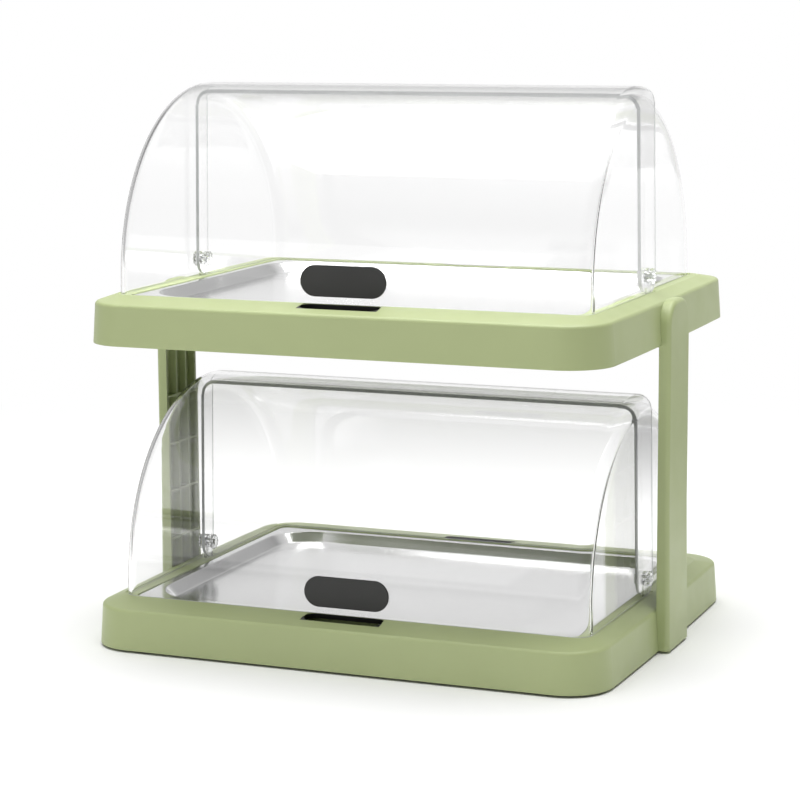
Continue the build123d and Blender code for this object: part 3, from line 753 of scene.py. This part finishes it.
# %% World
room_walls, room_ends, room_front, room_right = 0.5, 0.5, 0.7, 0.5
horizon_span, ceiling_span = (0.18, 0.36), (0.5, 0.8)
right_span, ends_span, front_span = (0.05, 0.35), (0.5, 0.75), (-0.3, 0.2)
mirrored_once = 0.5
white = (1.0, 1.0, 1.0, 1.0)
world = bpy.data.worlds.new("studio")
bpy.context.scene.world = world
world.use_nodes = True
sky = world.node_tree
sky.nodes.clear()
direction = sky.nodes.new("ShaderNodeTexCoord")
axes = sky.nodes.new("ShaderNodeSeparateXYZ")
sky.links.new(direction.outputs["Generated"], axes.inputs[0])
horizon = smooth_ramp(sky, axes.outputs["Z"], horizon_span, (1.0, room_walls))
right_shade = smooth_ramp(sky, axes.outputs["X"], right_span, (1.0, room_right))
walls = math_node(sky, "MULTIPLY", horizon, right_shade)
ceiling = smooth_ramp(sky, axes.outputs["Z"], ceiling_span, (0.0, 1.0 - room_walls))
sideways = math_node(sky, "ABSOLUTE", axes.outputs["X"], 0.0)
ends_shade = smooth_ramp(sky, sideways, ends_span, (1.0, room_ends))
front_shade = smooth_ramp(sky, axes.outputs["Y"], front_span, (room_front, 1.0))
shades = math_node(sky, "MULTIPLY", ends_shade, front_shade)
room_level = math_node(sky, "MULTIPLY", math_node(sky, "ADD", walls, ceiling), shades)
print("room levels ready")

# %% Room or backdrop
room = sky.nodes.new("ShaderNodeBackground")
sky.links.new(room_level, room.inputs["Strength"])
room.inputs["Color"].default_value = white
backdrop = sky.nodes.new("ShaderNodeBackground")
backdrop.inputs["Color"].default_value = white
path = sky.nodes.new("ShaderNodeLightPath")
unmirrored = math_node(sky, "LESS_THAN", path.outputs["Glossy Depth"], mirrored_once)
straight_through = math_node(sky, "MULTIPLY", unmirrored, path.outputs["Is Transmission Ray"])
sees_backdrop = math_node(sky, "MAXIMUM", straight_through, path.outputs["Is Camera Ray"])
choose = sky.nodes.new("ShaderNodeMixShader")
out = sky.nodes.new("ShaderNodeOutputWorld")
sky.links.new(sees_backdrop, choose.inputs[0])
sky.links.new(room.outputs[0], choose.inputs[1])
sky.links.new(backdrop.outputs[0], choose.inputs[2])
sky.links.new(choose.outputs[0], out.inputs["Surface"])
print("world ready")

# %% [markdown]
# The floor is white paper that catches the shadow. Away from the object it turns into an even glow, so
# that it meets the white backdrop without a line. In mirrors that glow is weak near the object and only
# grows further out, so steel and clear walls mirror a darker band of floor. Diffuse rays see only the
# paper, so the glow doesn't light the object.

# %% Floor
floor_radius = 6.0
floor_sides = 64
angle = np.linspace(0, 2 * math.pi, floor_sides, endpoint=False)
rim = floor_radius * np.stack([np.cos(angle), np.sin(angle), np.zeros(floor_sides)], axis=1)
number = np.arange(floor_sides)
wedges = np.stack([np.zeros(floor_sides, int), 1 + number, 1 + (number + 1) % floor_sides], axis=1)
floor_mesh = bpy.data.meshes.new("floor")
floor_mesh.from_pydata(np.vstack([np.zeros((1, 3)), rim]).tolist(), [], wedges.tolist())
floor = bpy.data.objects.new("floor", floor_mesh)
bpy.context.scene.collection.objects.link(floor)
print("floor of radius", floor_radius, "m")

# %% Paper that turns into a glow
floor_white = (0.92, 0.92, 0.92, 1.0)
glow_span, mirrored_span, mirrored_low = (0.35, 1.2), (0.8, 2.4), 0.15
paper, paper_shader = new_material("white_floor", floor_white, roughness=0.9)
paper_shader.inputs["Specular IOR Level"].default_value = 0.0
paper_tree = paper.node_tree
where = paper_tree.nodes.new("ShaderNodeTexCoord")
length = paper_tree.nodes.new("ShaderNodeVectorMath")
length.operation = "LENGTH"
link(paper, where.outputs["Object"], length.inputs[0])
distance = length.outputs["Value"]
fade = smooth_ramp(paper_tree, distance, glow_span, (0.0, 1.0))
mirrored = smooth_ramp(paper_tree, distance, mirrored_span, (mirrored_low, 1.0))
ray = paper_tree.nodes.new("ShaderNodeLightPath")
unmirrored = math_node(paper_tree, "LESS_THAN", ray.outputs["Glossy Depth"], mirrored_once)
glow = paper_tree.nodes.new("ShaderNodeEmission")
link(paper, math_node(paper_tree, "MAXIMUM", unmirrored, mirrored), glow.inputs["Strength"])
not_diffuse = math_node(paper_tree, "SUBTRACT", 1.0, ray.outputs["Is Diffuse Ray"])
blend_floor = paper_tree.nodes.new("ShaderNodeMixShader")
link(paper, math_node(paper_tree, "MULTIPLY", fade, not_diffuse), blend_floor.inputs[0])
link(paper, paper_shader.outputs[0], blend_floor.inputs[1])
link(paper, glow.outputs[0], blend_floor.inputs[2])
link(paper, blend_floor.outputs[0], paper_tree.nodes["Material Output"].inputs["Surface"])
floor_mesh.materials.append(paper)
print("paper ready")


# %% Lamps
def soft_lamp(name, position, target, width, height, watts):
    """An area lamp at position that points at target."""
    data = bpy.data.lights.new(name, "AREA")
    data.shape = "RECTANGLE"
    data.size = width
    data.size_y = height
    data.energy = watts
    lamp = bpy.data.objects.new(name, data)
    bpy.context.scene.collection.objects.link(lamp)
    lamp.location = position
    lamp.rotation_euler = (Vector(target) - Vector(position)).to_track_quat("-Z", "Y").to_euler()


soft_lamp("overhead", (0.05, 0.0, 2.0), target=(0.0, 0.0, 0.2), width=1.8, height=1.8, watts=45.0)
soft_lamp("key", (-1.3, -2.2, 0.6), target=(0.0, 0.0, 0.05), width=1.4, height=0.9, watts=2.5)
print("lamps ready")

# %% [markdown]
# The camera stands to the right of the front and a little above, far back with a long lens. Its place
# was worked out from the edges of the two bases. The print's verticals are parallel, as from a camera
# with a shifted lens; here the lens isn't shifted, so they lean together by a few pixels.

# %% Camera
image_size = 800
focal_pixels = 2529.8
sensor_width = 36.0
camera_place = (0.7608, -1.8835, 0.5197)
camera_yaw, camera_pitch, camera_roll = (math.radians(a) for a in (22.381, 9.370, -0.378))
forward = Vector((-math.sin(camera_yaw) * math.cos(camera_pitch),
                  math.cos(camera_yaw) * math.cos(camera_pitch), -math.sin(camera_pitch)))
level = Vector((math.cos(camera_yaw), math.sin(camera_yaw), 0.0))
upright = level.cross(forward)
right = math.cos(camera_roll) * level + math.sin(camera_roll) * upright
up = -math.sin(camera_roll) * level + math.cos(camera_roll) * upright
camera_data = bpy.data.cameras.new("camera")
camera_data.sensor_width = sensor_width
camera_data.lens = focal_pixels / image_size * sensor_width
camera = bpy.data.objects.new("camera", camera_data)
bpy.context.scene.collection.objects.link(camera)
camera.matrix_world = (Matrix.Translation(camera_place)
                       @ Matrix((right, up, -forward)).transposed().to_4x4())
bpy.context.scene.camera = camera
bpy.context.scene.view_settings.view_transform = "Standard"
print("lens", round(camera_data.lens, 1), "mm")
